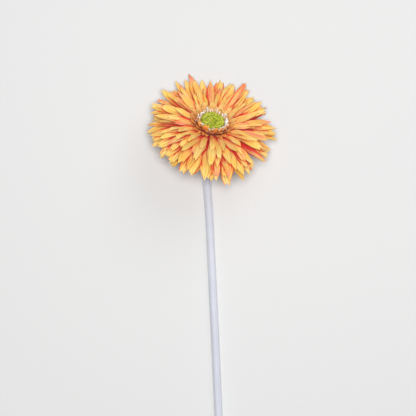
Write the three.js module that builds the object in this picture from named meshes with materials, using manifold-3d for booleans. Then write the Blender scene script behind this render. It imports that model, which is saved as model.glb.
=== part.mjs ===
// A cut gerbera daisy, semi-double, lying on a surface: its stem runs along the surface and rises in an arc
// at the neck, and its head leans back and rests on the tips of its outer petals.
// Units are millimetres. +Z is up, +Y runs along the stem towards the head, and the surface is z = 0.
// The head has its own frame: its origin is the middle of the receptacle's top, +Z is the head's axis, +X
// is across the flower and +Y points to the side of the head that leans down to the surface.

import * as THREE from "three";
import { mergeVertices } from "three/addons/utils/BufferGeometryUtils.js";
import Module from "manifold-3d";

const wasm = await Module();
wasm.setup();

// ---- Driving dimensions ----

const HEAD_TILT = THREE.MathUtils.degToRad(46); // between the head's axis and straight up
const HEAD_LEAN = THREE.MathUtils.degToRad(13); // the tilt's turn from +Y towards +X
const HEAD_PLACE = new THREE.Vector3(0, 0.8, 42.4); // the head's origin, before the whole is centred
const SEAT = 0.3; // the gap between two pieces that touch
const FACET_TOLERANCE = 0.02; // facets that differ less than this are merged

const STEM_WIDTH = 7.4;
const STEM_SIDES = 12;
const NECK_SHARE = 1.08; // the stem is this much wider where it meets the calyx
const NECK_LENGTH = 72; // from the calyx to where the stem lies flat, seen from above
const FLAT_LENGTH = 272; // from there to the cut end
const STEM_SHIFT = 0.75; // how far across the stem lands from the calyx, towards +X
const STEM_SLOPE = 0.05; // its turn towards +X there, as a share of the way along
const STEM_BEND = 12; // how far the cut end lies across from where the stem lands, towards +X

const DISC_RADIUS = 9.7;
const DISC_FOOT = 8.8;
const DISC_TOP = 7.6;
const DISC_SHOULDER = 4.2; // the height where its dome meets its side
const CORE_TOP = 0;
const CORE_BASE = -7;
const CALYX_TOP = CORE_BASE - SEAT;
const CALYX_BASE = -15.4;
const CALYX_FOOT = 4.4;

const ORIGIN = new THREE.Vector3(0.7, -155.0, 0); // the middle of the whole flower's box, on the surface

const ORANGE_YELLOW = 0xf6b95f;
const DEEP_ORANGE = 0xe08a35;
const CREAM_WHITE = 0xf1eee6;
const LIME_GREEN = 0xa7b33c;
const SAGE_GREEN = 0x9fb08a;
const PALE_LAVENDER = 0xd5d6df;

// ---- Solids ----

// A closed geometry as a manifold-3d solid.
function solidOf(geometry) {
  const bare = geometry.clone();
  bare.deleteAttribute("normal");
  bare.deleteAttribute("uv");
  const merged = mergeVertices(bare, 1e-4);
  return new wasm.Manifold(
    new wasm.Mesh({
      numProp: 3,
      vertProperties: merged.attributes.position.array,
      triVerts: new Uint32Array(merged.index.array),
    }),
  );
}

function geometryOf(solid) {
  const mesh = solid.asOriginal().simplify(FACET_TOLERANCE).getMesh();
  return new THREE.BufferGeometry()
    .setAttribute("position", new THREE.BufferAttribute(new Float32Array(mesh.vertProperties), 3))
    .setIndex(new THREE.BufferAttribute(new Uint32Array(mesh.triVerts), 1))
    .toNonIndexed();
}

// The first geometry with all the others joined to it.
function fuse(body, additions) {
  return additions.reduce((whole, piece) => whole.add(solidOf(piece)), solidOf(body));
}

function indexed(points, triangles) {
  return new THREE.BufferGeometry()
    .setAttribute("position", new THREE.Float32BufferAttribute(points.flatMap((p) => p.toArray()), 3))
    .setIndex(triangles.flat());
}

function turned(profile, sides) {
  return new THREE.LatheGeometry(
    profile.map(([radius, height]) => new THREE.Vector2(radius, height)),
    sides,
  ).rotateX(Math.PI / 2);
}

function named(name, geometry, color, roughness) {
  const flat = geometry.clone();
  flat.computeVertexNormals();
  const mesh = new THREE.Mesh(flat, new THREE.MeshStandardMaterial({ color, roughness, metalness: 0 }));
  mesh.name = name;
  return mesh;
}

// ---- Random draws, the same on every run ----

function seededDraw(seed) {
  let state = seed;
  return () => {
    state = (Math.imul(state, 1664525) + 1013904223) >>> 0;
    return state / 4294967296;
  };
}

const spread = (draw, half) => (draw() * 2 - 1) * half;

// ---- Blades: petals, florets and bracts ----

const PETAL_STATIONS = [0, 0.28, 0.56, 0.8];
const SHORT_STATIONS = [0, 0.55];
const TIPS = {
  1: [[1, 0]],
  2: [[0.985, -0.42], [0.93, 0], [1, 0.36]],
  3: [[0.95, -0.56], [0.92, -0.3], [1, 0], [0.93, 0.3], [0.96, 0.54]],
};
const CLAW_SHARE = 0.32; // a blade's width at its root, as a share of its full width
const WIDEST_AT = 0.6;

function widthShare(s) {
  if (s < WIDEST_AT) {
    return CLAW_SHARE + (1 - CLAW_SHARE) * Math.sin((Math.PI / 2) * (s / WIDEST_AT)) ** 1.2;
  }
  return (1 - ((s - WIDEST_AT) / (1 - WIDEST_AT)) ** 1.9) ** 0.65;
}

// A point of a blade's upper face and the face's normal there. The midline is an arc that leaves the head's
// axis along azimuth and bends from one elevation to another; s runs from root to tip, and across runs from
// -1 to 1 over the width.
function bladePoint(blade, s, across) {
  const { azimuth, rootRadius, rootHeight, length, width, rise, droop, sway, roll, fold } = blade;
  const bend = droop - rise || 1e-6;
  const elevation = rise + bend * s;
  const radius = rootRadius + (length * (Math.sin(elevation) - Math.sin(rise))) / bend;
  const height = rootHeight + (length * (Math.cos(rise) - Math.cos(elevation))) / bend;
  const out = new THREE.Vector3(Math.cos(azimuth), Math.sin(azimuth), 0);
  const side = new THREE.Vector3(-Math.sin(azimuth), Math.cos(azimuth), 0);
  const up = new THREE.Vector3(0, 0, 1);
  const normal = out.clone().multiplyScalar(-Math.sin(elevation)).addScaledVector(up, Math.cos(elevation));
  const turn = roll * s;
  const crosswise = side.clone().multiplyScalar(Math.cos(turn)).addScaledVector(normal, Math.sin(turn));
  const faceNormal = normal.clone().multiplyScalar(Math.cos(turn)).addScaledVector(side, -Math.sin(turn));
  const half = width / 2;
  return {
    point: out
      .multiplyScalar(radius)
      .addScaledVector(up, height)
      .addScaledVector(side, sway * length * s * s)
      .addScaledVector(crosswise, across * half)
      .addScaledVector(faceNormal, fold * Math.abs(across) * half),
    normal: faceNormal,
  };
}

// A blade as a closed solid: its upper face, the same face one thickness lower, and the walls between them.
function bladeGeometry(blade, stations) {
  const upper = [];
  const triangles = [];
  stations.forEach((s, i) => {
    const share = widthShare(s);
    [-share, 0, share].forEach((across) => upper.push(bladePoint(blade, s, across)));
    if (i === 0) return;
    const before = 3 * (i - 1);
    const here = 3 * i;
    [0, 1].forEach((strip) => {
      triangles.push([before + strip, here + strip, here + strip + 1]);
      triangles.push([before + strip, here + strip + 1, before + strip + 1]);
    });
  });
  const last = 3 * (stations.length - 1);
  const tips = TIPS[blade.teeth].map(([s, across]) => upper.push(bladePoint(blade, s, across)) - 1);
  const end = [last, ...tips, last + 2];
  end.slice(1).forEach((corner, i) => triangles.push([end[i], corner, last + 1]));

  const left = stations.map((_, i) => 3 * i);
  const right = stations.map((_, i) => 3 * i + 2).reverse();
  const rim = [...left, ...tips, ...right, 1];
  const lower = upper.map(({ point, normal }) => point.clone().addScaledVector(normal, -blade.thickness));
  const drop = upper.length;
  const walls = rim.flatMap((corner, i) => {
    const next = rim[(i + 1) % rim.length];
    return [[corner, corner + drop, next + drop], [corner, next + drop, next]];
  });
  const underside = triangles.map(([a, b, c]) => [a + drop, c + drop, b + drop]);
  return indexed([...upper.map(({ point }) => point), ...lower], [...triangles, ...underside, ...walls]);
}

// ---- The head's frame ----

const headAxis = new THREE.Vector3(
  Math.sin(HEAD_LEAN) * Math.sin(HEAD_TILT),
  Math.cos(HEAD_LEAN) * Math.sin(HEAD_TILT),
  Math.cos(HEAD_TILT),
);
const headAcross = new THREE.Vector3(Math.cos(HEAD_LEAN), -Math.sin(HEAD_LEAN), 0);
const headDown = headAxis.clone().cross(headAcross);
const headMatrix = new THREE.Matrix4().makeBasis(headAcross, headDown, headAxis).setPosition(HEAD_PLACE);

const overSurface = (point) => point.clone().applyMatrix4(headMatrix).z;

// ---- Petals: five whorls round the receptacle, the lowest first ----

const PETAL_SEED = 6024;
const PETAL_THICKNESS = 0.7;
const ROOT_SUNK = 2;
const PRESSED = 0.15; // how far the lowest petal tips are flattened by the surface
const WHORLS = [
  {
    count: 23, radius: 11.2, height: -5.7, length: 43.2, width: 10.2,
    rise: -1, droop: -28, push: 23, raise: 11, first: 0,
  },
  {
    count: 22, radius: 12.0, height: -4.7, length: 42.8, width: 10.0,
    rise: 8.5, droop: -19, push: 15, raise: 10, first: 9,
  },
  {
    count: 21, radius: 12.6, height: -3.6, length: 43.0, width: 9.5,
    rise: 7, droop: -20, push: 8, raise: 5, first: 3,
  },
  {
    count: 20, radius: 13.1, height: -2.6, length: 36.5, width: 8.7,
    rise: 20, droop: -3, push: 4, raise: 3, first: 12,
  },
  {
    count: 17, radius: 13.3, height: -1.7, length: 23.1, width: 7.2,
    rise: 26, droop: 6, push: 0, raise: 0, first: 6,
  },
];
const STRAYS = [
  {
    azimuth: 121, radius: 12.8, height: -3.2, length: 46, width: 7.4,
    rise: 20, droop: 2, push: 0, raise: 0,
  },
  {
    azimuth: 65, radius: 12.8, height: -3.2, length: 45, width: 7.4,
    rise: 28, droop: 18, push: 0, raise: 0,
  },
];
const SIDE_SHARE = 0.025; // petals towards the head's +X are this share longer, and those opposite shorter
const BROAD_SHARE = 0.012; // petals at both sides are this share longer, those in front and behind shorter
const HANG = THREE.MathUtils.degToRad(5.2); // how much further the petals in front droop
const degrees = THREE.MathUtils.degToRad;

function bladeLowest(blade) {
  const position = bladeGeometry(blade, PETAL_STATIONS).attributes.position;
  const corner = new THREE.Vector3();
  const places = [...Array(position.count).keys()];
  return Math.min(...places.map((i) => overSurface(corner.fromBufferAttribute(position, i))));
}

// Bends a blade up from the surface, its tip more than its root.
function lifted(blade, angle) {
  return { ...blade, rise: blade.rise + angle * 0.5, droop: blade.droop + angle * 1.5 };
}

function petalBlade(draw, base) {
  const tilt = spread(draw, 4);
  const reach = 1 + SIDE_SHARE * Math.cos(base.azimuth) + BROAD_SHARE * Math.cos(2 * base.azimuth);
  const towardsSurface = Math.max(0, Math.sin(base.azimuth));
  const atShoulder = towardsSurface && Math.abs(Math.sin(2 * base.azimuth)) ** 0.7;
  let blade = {
    azimuth: base.azimuth,
    rootRadius: base.radius - ROOT_SUNK,
    rootHeight: base.height,
    length: base.length * reach * (1 + spread(draw, 0.07)) + ROOT_SUNK,
    width: base.width * (1 + spread(draw, 0.08)),
    rise: degrees(base.rise + tilt * 0.4),
    droop: degrees(base.droop + tilt * 1.6),
    sway: spread(draw, 0.05),
    roll: degrees(spread(draw, 18)),
    fold: 0.16 + spread(draw, 0.1),
    teeth: [1, 1, 2, 1, 3][Math.floor(draw() * 5)],
    thickness: PETAL_THICKNESS,
  };
  const hang = HANG * Math.max(0, -Math.sin(base.azimuth));
  blade = lifted(blade, degrees(base.push * towardsSurface + base.raise * atShoulder) - hang);
  while (bladeLowest(blade) < -PRESSED) blade = lifted(blade, degrees(0.25));
  return blade;
}

function petalBlades() {
  const draw = seededDraw(PETAL_SEED);
  const whorls = WHORLS.flatMap((whorl) =>
    [...Array(whorl.count).keys()].map((place) => {
      const azimuth = degrees(whorl.first + (360 / whorl.count) * (place + spread(draw, 0.15)));
      return petalBlade(draw, { ...whorl, azimuth });
    }),
  );
  const strays = STRAYS.map((stray) => petalBlade(draw, { ...stray, azimuth: degrees(stray.azimuth) }));
  return [...whorls, ...strays];
}

function petals() {
  const core = turned(
    [
      [0, CORE_BASE], [9.2, CORE_BASE], [10.6, -6.2], [12.2, -4], [13.4, -1.2],
      [13.3, CORE_TOP], [0, CORE_TOP],
    ],
    24,
  );
  const below = new THREE.BoxGeometry(300, 300, 20)
    .translate(0, 0, -10)
    .applyMatrix4(headMatrix.clone().invert());
  const whole = fuse(core, petalBlades().map((blade) => bladeGeometry(blade, PETAL_STATIONS)));
  const bodies = whole.subtract(solidOf(below)).decompose();
  return geometryOf(bodies.sort((a, b) => b.volume() - a.volume())[0]);
}

// ---- Collar: two rows of short inner florets on a ring round the disc ----

const COLLAR_SEED = 7;
const COLLAR_ROWS = [
  {
    count: 21, radius: 12.4, height: 1.0, length: 9.0, width: 3.5,
    rise: 70, droop: 80, first: 0,
  },
  {
    count: 16, radius: 12.9, height: 1.1, length: 12.0, width: 4.4,
    rise: 55, droop: 36, first: 10,
  },
];

function collar() {
  const draw = seededDraw(COLLAR_SEED);
  const ring = turned([[11.7, SEAT], [13.2, SEAT], [13.4, 1.6], [11.7, 1.6], [11.7, SEAT]], 24);
  const florets = COLLAR_ROWS.flatMap((row) =>
    [...Array(row.count).keys()].map((place) =>
      bladeGeometry(
        {
          azimuth: degrees(row.first + (360 / row.count) * (place + spread(draw, 0.15))),
          rootRadius: row.radius,
          rootHeight: row.height,
          length: row.length * (1 + spread(draw, 0.12)),
          width: row.width,
          rise: degrees(row.rise + spread(draw, 4)),
          droop: degrees(row.droop + spread(draw, 6)),
          sway: spread(draw, 0.04),
          roll: degrees(spread(draw, 14)),
          fold: 0.2,
          teeth: 1,
          thickness: 0.6,
        },
        SHORT_STATIONS,
      ),
    ),
  );
  return geometryOf(fuse(ring, florets));
}

// ---- Stigmas: a ring of white filaments between disc and collar ----

const STIGMA_SEED = 3;
const STIGMA_COUNT = 26;

function stigmaGeometry(azimuth, lean, tall, wide) {
  const sides = 3;
  const points = [];
  const triangles = [];
  const levels = [[0, 0.5], [0.55, 0.45], [1, 0.4]];
  levels.forEach(([share, girth]) => {
    const radius = 10.75 + lean * share ** 1.5;
    const height = 0.8 + tall * share;
    for (let i = 0; i < sides; i += 1) {
      const angle = (i / sides) * 2 * Math.PI;
      points.push(
        new THREE.Vector3(radius + girth * Math.cos(angle), girth * wide * Math.sin(angle), height)
          .applyAxisAngle(new THREE.Vector3(0, 0, 1), azimuth),
      );
    }
  });
  for (let level = 0; level < levels.length - 1; level += 1)
    for (let i = 0; i < sides; i += 1) {
      const a = level * sides + i;
      const b = level * sides + ((i + 1) % sides);
      triangles.push([a, b, b + sides], [a, b + sides, a + sides]);
    }
  const top = (levels.length - 1) * sides;
  triangles.push([0, 2, 1], [top, top + 1, top + 2]);
  return indexed(points, triangles);
}

function stigmas() {
  const draw = seededDraw(STIGMA_SEED);
  const ring = turned([[9.9, SEAT], [11.3, SEAT], [11.3, 1.4], [9.9, 1.4], [9.9, SEAT]], 20);
  const filaments = [...Array(STIGMA_COUNT).keys()].map((place) =>
    stigmaGeometry(
      degrees((360 / STIGMA_COUNT) * (place + spread(draw, 0.3))),
      1.5 + spread(draw, 0.5),
      6.6 + spread(draw, 1.2),
      1 + spread(draw, 0.2),
    ),
  );
  return geometryOf(fuse(ring, filaments));
}

// ---- Disc: a green cushion whose florets stand in crossing spirals ----

const DISC_RINGS = 10;
const DISC_SIDES = 52;
const FLORET_RELIEF = 0.28;

function discProfile(share) {
  const edge = Math.sin((share * Math.PI) / 2);
  const dimple = 0.7 * Math.exp(-((share / 0.22) ** 2));
  const dome = (DISC_TOP - DISC_SHOULDER) * Math.cos((share * Math.PI) / 2) ** 0.7;
  return { radius: DISC_RADIUS * edge, height: DISC_SHOULDER + dome - dimple };
}

function disc() {
  const points = [new THREE.Vector3(0, 0, discProfile(0).height)];
  const triangles = [];
  for (let ring = 1; ring <= DISC_RINGS; ring += 1) {
    const share = ring / DISC_RINGS;
    const { radius, height } = discProfile(share);
    for (let side = 0; side < DISC_SIDES; side += 1) {
      const angle = (side / DISC_SIDES) * 2 * Math.PI;
      const spirals = Math.cos(13 * angle - 14 * share) * Math.cos(13 * angle + 14 * share);
      const bump = ring === DISC_RINGS ? 0 : FLORET_RELIEF * spirals;
      const along = radius + bump * share;
      const top = height + bump * (1 - share);
      points.push(new THREE.Vector3(along * Math.cos(angle), along * Math.sin(angle), top));
    }
  }
  const foot = [[9.4, 2.4], [DISC_FOOT, SEAT]];
  foot.forEach(([radius, height]) => {
    for (let side = 0; side < DISC_SIDES; side += 1) {
      const angle = (side / DISC_SIDES) * 2 * Math.PI;
      points.push(new THREE.Vector3(radius * Math.cos(angle), radius * Math.sin(angle), height));
    }
  });
  const middle = points.push(new THREE.Vector3(0, 0, SEAT)) - 1;
  const rings = DISC_RINGS + foot.length;
  for (let side = 0; side < DISC_SIDES; side += 1) {
    const next = (side + 1) % DISC_SIDES;
    triangles.push([0, 1 + side, 1 + next]);
    for (let ring = 0; ring < rings - 1; ring += 1) {
      const inner = 1 + ring * DISC_SIDES;
      const outer = inner + DISC_SIDES;
      triangles.push([inner + side, outer + side, outer + next]);
      triangles.push([inner + side, outer + next, inner + next]);
    }
    const rim = 1 + (rings - 1) * DISC_SIDES;
    triangles.push([middle, rim + next, rim + side]);
  }
  return indexed(points, triangles);
}

// ---- Calyx: the cup under the petals, with two rows of bracts ----

const CALYX_SEED = 11;
const BRACT_ROWS = [
  {
    count: 9, radius: 6.6, height: -13.6, length: 8, width: 4.2,
    rise: 28, droop: 30, first: 0,
  },
  {
    count: 10, radius: 9.0, height: -10.8, length: 10.5, width: 5.2,
    rise: 16, droop: 2, first: 12,
  },
];

function calyx() {
  const draw = seededDraw(CALYX_SEED);
  const cup = turned(
    [
      [0, CALYX_BASE], [CALYX_FOOT, CALYX_BASE], [5.4, -14.6], [7.8, -12.6], [9.6, -10.2], [10.2, -8.4],
      [9.8, CALYX_TOP], [0, CALYX_TOP],
    ],
    20,
  );
  const bracts = BRACT_ROWS.flatMap((row) =>
    [...Array(row.count).keys()].map((place) =>
      bladeGeometry(
        {
          azimuth: degrees(row.first + (360 / row.count) * (place + spread(draw, 0.1))),
          rootRadius: row.radius - 1.5,
          rootHeight: row.height,
          length: row.length * (1 + spread(draw, 0.08)) + 1.5,
          width: row.width,
          rise: degrees(row.rise),
          droop: degrees(row.droop + spread(draw, 2)),
          sway: spread(draw, 0.03),
          roll: degrees(spread(draw, 6)),
          fold: 0.2,
          teeth: 1,
          thickness: 0.6,
        },
        SHORT_STATIONS,
      ),
    ),
  );
  return geometryOf(fuse(cup, bracts));
}

// ---- Stem: from the calyx down the neck's arc to the surface, and along it to the cut end ----

const STEM_REST = (STEM_WIDTH / 2) * Math.cos(Math.PI / STEM_SIDES); // its axis's height, a side lying flat
const NECK_STEPS = 12;
const FLAT_STEPS = 8;

function stemPath() {
  const top = new THREE.Vector3(0, 0, CALYX_BASE - SEAT).applyMatrix4(headMatrix);
  const landing = new THREE.Vector3(top.x + STEM_SHIFT, top.y - NECK_LENGTH, STEM_REST);
  const cut = new THREE.Vector3(landing.x + STEM_BEND, landing.y - FLAT_LENGTH, STEM_REST);
  const neckPull = NECK_LENGTH * 0.42;
  const along = new THREE.Vector3(STEM_SLOPE, -1, 0).normalize();
  const neck = new THREE.CubicBezierCurve3(
    top,
    top.clone().addScaledVector(headAxis, -neckPull),
    landing.clone().addScaledVector(along, -neckPull),
    landing,
  );
  const bendPoint = landing.clone().addScaledVector(along, FLAT_LENGTH / 2);
  const flat = new THREE.QuadraticBezierCurve3(landing, bendPoint, cut);
  return { neck, flat };
}

function stem() {
  const { neck, flat } = stemPath();
  const stations = [];
  for (let i = 0; i <= NECK_STEPS; i += 1) {
    const at = i / NECK_STEPS;
    stations.push({ curve: neck, at, widen: 1 - at });
  }
  for (let i = 1; i <= FLAT_STEPS; i += 1) stations.push({ curve: flat, at: i / FLAT_STEPS, widen: 0 });
  const points = [];
  const triangles = [];
  stations.forEach(({ curve, at, widen }) => {
    const centre = curve.getPointAt(at);
    const ahead = curve.getTangentAt(at);
    const level = new THREE.Vector3(0, 0, 1).cross(ahead).normalize();
    const over = ahead.clone().cross(level);
    const radius = (STEM_WIDTH / 2) * (1 + (NECK_SHARE - 1) * widen ** 3);
    for (let side = 0; side < STEM_SIDES; side += 1) {
      const angle = ((side + 0.5) / STEM_SIDES) * 2 * Math.PI;
      points.push(
        centre
          .clone()
          .addScaledVector(over, -radius * Math.cos(angle))
          .addScaledVector(level, radius * Math.sin(angle)),
      );
    }
  });
  const first = points.push(stations[0].curve.getPointAt(0)) - 1;
  const last = points.push(flat.getPointAt(1)) - 1;
  const end = (stations.length - 1) * STEM_SIDES;
  for (let side = 0; side < STEM_SIDES; side += 1) {
    const next = (side + 1) % STEM_SIDES;
    triangles.push([first, next, side], [last, end + side, end + next]);
    for (let ring = 0; ring < end; ring += STEM_SIDES) {
      triangles.push([ring + side, ring + STEM_SIDES + next, ring + STEM_SIDES + side]);
      triangles.push([ring + side, ring + next, ring + STEM_SIDES + next]);
    }
  }
  return indexed(points, triangles);
}

// ---- The flower ----

const head = new THREE.Group();
head.applyMatrix4(headMatrix);
head.add(
  named("disc", disc(), LIME_GREEN, 0.75),
  named("stigmas", stigmas(), CREAM_WHITE, 0.6),
  named("collar_florets", collar(), DEEP_ORANGE, 0.6),
  named("petals", petals(), ORANGE_YELLOW, 0.6),
  named("calyx", calyx(), SAGE_GREEN, 0.7),
);

const gerbera = new THREE.Group();
gerbera.name = "gerbera_daisy";
gerbera.add(head, named("stem", stem(), PALE_LAVENDER, 0.6));
gerbera.position.copy(ORIGIN).negate();

export default gerbera;
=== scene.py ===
"""Gerbera daisy: the finished look of a cut flower that lies on a table.

Shapes are worked out in millimetres, in the same head frame and by the same rules as the solid model, and
become Blender's metres when a piece is built. Azimuth is measured about the head's axis, from across the
flower towards the side that leans back on the table.
"""

import math

import bmesh
import bpy
import numpy as np
from bpy.props import FloatProperty, FloatVectorProperty, IntProperty, PointerProperty
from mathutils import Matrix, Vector
from mathutils.bvhtree import BVHTree


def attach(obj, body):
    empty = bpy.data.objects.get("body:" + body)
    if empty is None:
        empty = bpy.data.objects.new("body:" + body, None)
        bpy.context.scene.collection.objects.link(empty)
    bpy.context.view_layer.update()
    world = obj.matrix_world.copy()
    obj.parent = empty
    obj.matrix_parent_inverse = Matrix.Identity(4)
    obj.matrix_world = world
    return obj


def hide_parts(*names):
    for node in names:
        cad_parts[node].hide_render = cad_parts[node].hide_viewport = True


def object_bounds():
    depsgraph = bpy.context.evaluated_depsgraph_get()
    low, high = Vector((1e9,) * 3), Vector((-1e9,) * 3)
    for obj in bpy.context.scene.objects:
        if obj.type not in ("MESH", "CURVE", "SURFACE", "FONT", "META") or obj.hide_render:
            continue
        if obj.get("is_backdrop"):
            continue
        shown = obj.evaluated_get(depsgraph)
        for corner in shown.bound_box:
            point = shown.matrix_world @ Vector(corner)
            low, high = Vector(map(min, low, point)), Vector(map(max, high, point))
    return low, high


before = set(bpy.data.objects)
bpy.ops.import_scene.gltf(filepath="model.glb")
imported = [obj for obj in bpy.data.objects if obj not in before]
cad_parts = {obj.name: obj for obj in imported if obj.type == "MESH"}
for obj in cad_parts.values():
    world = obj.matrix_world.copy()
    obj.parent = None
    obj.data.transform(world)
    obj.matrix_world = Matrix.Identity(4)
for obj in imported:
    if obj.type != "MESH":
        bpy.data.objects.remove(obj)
CAD_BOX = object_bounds()

bl_info = {
    "name": "Gerbera Daisy",
    "version": (1, 0, 0),
    "blender": (4, 5, 0),
    "location": "3D View > Sidebar > Gerbera",
    "description": "Builds a cut gerbera daisy that lies on a table",
    "category": "Add Mesh",
}

METRES = 0.001
GOLDEN_ANGLE = math.pi * (3 - math.sqrt(5))
UP = np.array([0.0, 0.0, 1.0])


# ---- The head's frame and the solids' own sizes, in millimetres and degrees ----


def table(names, *rows):
    """Rows of sizes, each as a dictionary under the names that head its columns."""
    return [dict(zip(names.split(), row)) for row in rows]


HEAD_TILT = math.radians(46)  # between the head's axis and straight up
HEAD_LEAN = math.radians(13)  # the tilt's turn from +Y towards +X
ORIGIN = np.array([0.7, -155.0, 0.0])  # the middle of the whole flower's box, on the table
HEAD_PLACE = np.array([0.0, 0.8, 42.4]) - ORIGIN  # the middle of the receptacle's top
HEAD_AXIS = np.array(
    [
        math.sin(HEAD_LEAN) * math.sin(HEAD_TILT),
        math.cos(HEAD_LEAN) * math.sin(HEAD_TILT),
        math.cos(HEAD_TILT),
    ]
)
HEAD_ACROSS = np.array([math.cos(HEAD_LEAN), -math.sin(HEAD_LEAN), 0.0])
HEAD_BASIS = np.array([HEAD_ACROSS, np.cross(HEAD_AXIS, HEAD_ACROSS), HEAD_AXIS])

SEAT = 0.3  # the gap between two pieces that touch
CORE_BASE = -7.0
CALYX_TOP = CORE_BASE - SEAT
CALYX_BASE = -15.4
CORE = [(9.2, CORE_BASE), (10.6, -6.2), (12.2, -4), (13.4, -1.2), (13.3, -0.2), (12.9, 0)]
CUP = [(4.4, CALYX_BASE), (5.4, -14.6), (7.8, -12.6), (9.6, -10.2), (10.2, -8.4), (9.8, CALYX_TOP)]
DISC_RADIUS = 9.7
DISC_FOOT = 8.8
DISC_TOP = 7.6
DISC_EDGE_HEIGHT = 4.2

CLAW_SHARE = 0.32  # a blade's width at its root, as a share of its full width
WIDEST_AT = 0.6  # how far along a blade it is widest
BLADE_STATIONS = (0, 0.28, 0.56, 0.8)
TIPS = {  # corners of a tip with that many teeth: how far along, and how far across
    1: [(1, 0)],
    2: [(0.985, -0.42), (0.93, 0), (1, 0.36)],
    3: [(0.95, -0.56), (0.92, -0.3), (1, 0), (0.93, 0.3), (0.96, 0.54)],
}
TEETH_DRAWN = (1, 1, 2, 1, 3)

PETAL_SEED = 6024
PETAL_THICKNESS = 0.7
ROOT_SUNK = 2
PRESSED = 0.15  # how far the lowest tips are flattened by the table
LIFT_STEP = math.radians(0.25)
SIDE_SHARE = 0.025  # petals at one side are this share longer, and those opposite shorter
BROAD_SHARE = 0.012  # petals at both sides are this share longer, those in front and behind shorter
HANG = math.radians(5.2)  # how much further the petals in front droop
# push and up are how much further the petals that lean back and those beside them rise, first is the azimuth
# of a whorl's first petal, and stain is how far along a petal its crimson reaches, as a share.
WHORL_SIZES = "count radius height length width rise droop push up first stain"
WHORLS = table(
    WHORL_SIZES,
    (23, 11.2, -5.7, 43.2, 10.2, -1, -28, 23, 11, 0, 0.62),
    (22, 12.0, -4.7, 42.8, 10.0, 8.5, -19, 15, 10, 9, 0.58),
    (21, 12.6, -3.6, 43.0, 9.5, 7, -20, 8, 5, 3, 0.5),
    (20, 13.1, -2.6, 36.5, 8.7, 20, -3, 4, 3, 12, 0.42),
    (17, 13.3, -1.7, 23.1, 7.2, 26, 6, 0, 0, 6, 0.3),
)
BETWEEN = table(
    WHORL_SIZES,
    (22, 12.3, -4.1, 41.5, 7.6, 8, -19, 11, 7, 5, 0.52),
    (18, 12.9, -3.1, 38.0, 7.4, 14, -11, 6, 4, 7, 0.45),
    (18, 13.2, -2.1, 29.5, 6.8, 23, 2, 2, 1.5, 2, 0.34),
)
STRAYS = table(
    "azimuth radius height length width rise droop push up stain",
    (121, 12.8, -3.2, 46, 7.4, 20, 2, 0, 0, 0.45),
    (65, 12.8, -3.2, 45, 7.4, 28, 18, 0, 0, 0.45),
)

COLLAR_SEED = 7
COLLAR_RING = [(11.7, SEAT), (13.2, SEAT), (13.4, 1.6), (11.7, 1.6), (11.7, SEAT)]
ROW_SIZES = "count radius height length width rise droop first jitter"
COLLAR_ROWS = table(  # the last two rows are the finished flower's alone
    ROW_SIZES,
    (21, 12.4, 1.0, 9.0, 3.5, 70, 80, 0, 0.15),
    (16, 12.9, 1.1, 12.0, 4.4, 55, 36, 10, 0.15),
    (24, 12.2, 0.9, 7.6, 3.6, 74, 88, 5, 0.15),
    (30, 12.9, 0.5, 8.6, 3.5, 40, 12, 3, 0.45),
)

STIGMA_SEED = 3
STIGMA_COUNT = 26
STIGMA_RING = [(9.9, SEAT), (11.3, SEAT), (11.3, 1.4), (9.9, 1.4), (9.9, SEAT)]
STIGMA_RADIUS = 10.75
STIGMA_FOOT = 0.8

CALYX_SEED = 11
BRACT_SUNK = 1.5
BRACT_ROWS = table(  # the last row is the finished flower's alone
    ROW_SIZES,
    (9, 6.6, -13.6, 8.0, 4.2, 28, 30, 0, 0.1),
    (10, 9.0, -10.8, 10.5, 5.2, 16, 2, 12, 0.1),
    (14, 6.4, -11.6, 8.2, 3.8, 22, 14, 8, 0.1),
)

STEM_WIDTH = 7.4
STEM_SIDES = 12
STEM_REST = STEM_WIDTH / 2 * math.cos(math.pi / STEM_SIDES)
NECK_SHARE = 1.08  # the stem is this much wider where it meets the calyx
NECK_LENGTH = 72  # from the calyx to where the stem lies flat, seen from above
FLAT_LENGTH = 272  # from there to the cut end
STEM_SHIFT = 0.75  # how far across the stem lands from the calyx, towards +X
STEM_SLOPE = 0.05  # its turn towards +X there, as a share of the way along
STEM_BEND = 12  # how far the cut end lies across from where the stem lands, towards +X

# ---- What a user would change ----


def tint(code):
    """A colour code as the linear values that Blender's shaders use."""
    shares = [(code >> shift & 255) / 255 for shift in (16, 8, 0)]
    return tuple(x / 12.92 if x < 0.04045 else ((x + 0.055) / 1.055) ** 2.4 for x in shares)


def colour(name, code, description):
    return FloatVectorProperty(
        name=name, description=description, subtype="COLOR", size=3, min=0, max=1, default=tint(code)
    )


def length(name, default, description):
    """A length in metres whose default is given in millimetres."""
    default *= METRES
    return FloatProperty(name=name, description=description, default=default, unit="LENGTH", precision=5)


def light_power(name, default, description):
    return FloatProperty(name=name, description=description, default=default, unit="POWER")


class GerberaShape(bpy.types.PropertyGroup):
    petal_thickness: length("Petal thickness", 0.5, "Thickness along a petal's middle")
    crease_depth: length("Crease depth", 0.4, "Depth of the lengthwise creases in a petal")
    edge_wave: length("Edge wave", 0.8, "How far a petal's edges wave up and down")
    tip_curl: length("Tip curl", 2.8, "How far a petal's tip curls up or down")
    strand_width: length("Stigma width", 0.85, "Width of one white strand at its foot")
    bead_size: length("Disc bead size", 1.16, "Width of one unopened floret on the disc")
    bead_count: IntProperty(
        name="Disc beads", description="Unopened florets on the disc", default=300, min=50
    )


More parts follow.
